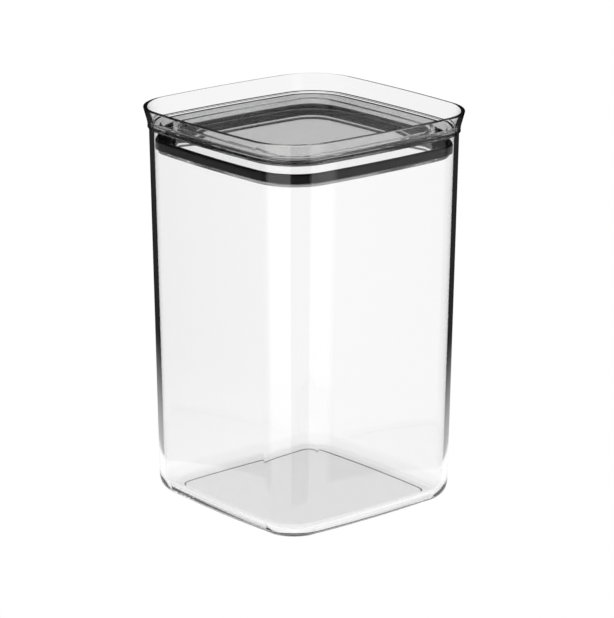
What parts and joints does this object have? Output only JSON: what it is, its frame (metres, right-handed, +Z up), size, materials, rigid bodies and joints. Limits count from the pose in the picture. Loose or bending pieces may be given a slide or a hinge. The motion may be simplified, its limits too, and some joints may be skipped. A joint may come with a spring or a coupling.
{
  "type": "lidded storage canister",
  "caption": "Clear square storage canister with rounded corners, a flared rim and a flush lift-out clear lid with a black perimeter seal.",
  "frame": {"origin": "centre of the flat resting face under the canister", "axes": "+Z up through the middle of the canister to the lid; +X and +Y square to two neighbouring sides"},
  "size_m": [0.1172, 0.1172, 0.18],
  "materials": {
    "clear_body": "clear moulded plastic, polished",
    "clear_lid": "clear moulded plastic, polished",
    "clear_carrier": "clear moulded plastic, polished",
    "black_seal": "black silicone rubber, satin"
  },
  "bodies": {
    "canister": {"canister_body": "clear_body"},
    "lid": {"lid_plate": "clear_lid", "seal_carrier": "clear_carrier", "seal_gasket": "black_seal"}
  },
  "joints": [
    {"name": "lid_lift", "type": "slide", "parent": "canister", "child": "lid", "axis": [0, 0, 1], "range_m": [0, 0.04]}
  ]
}
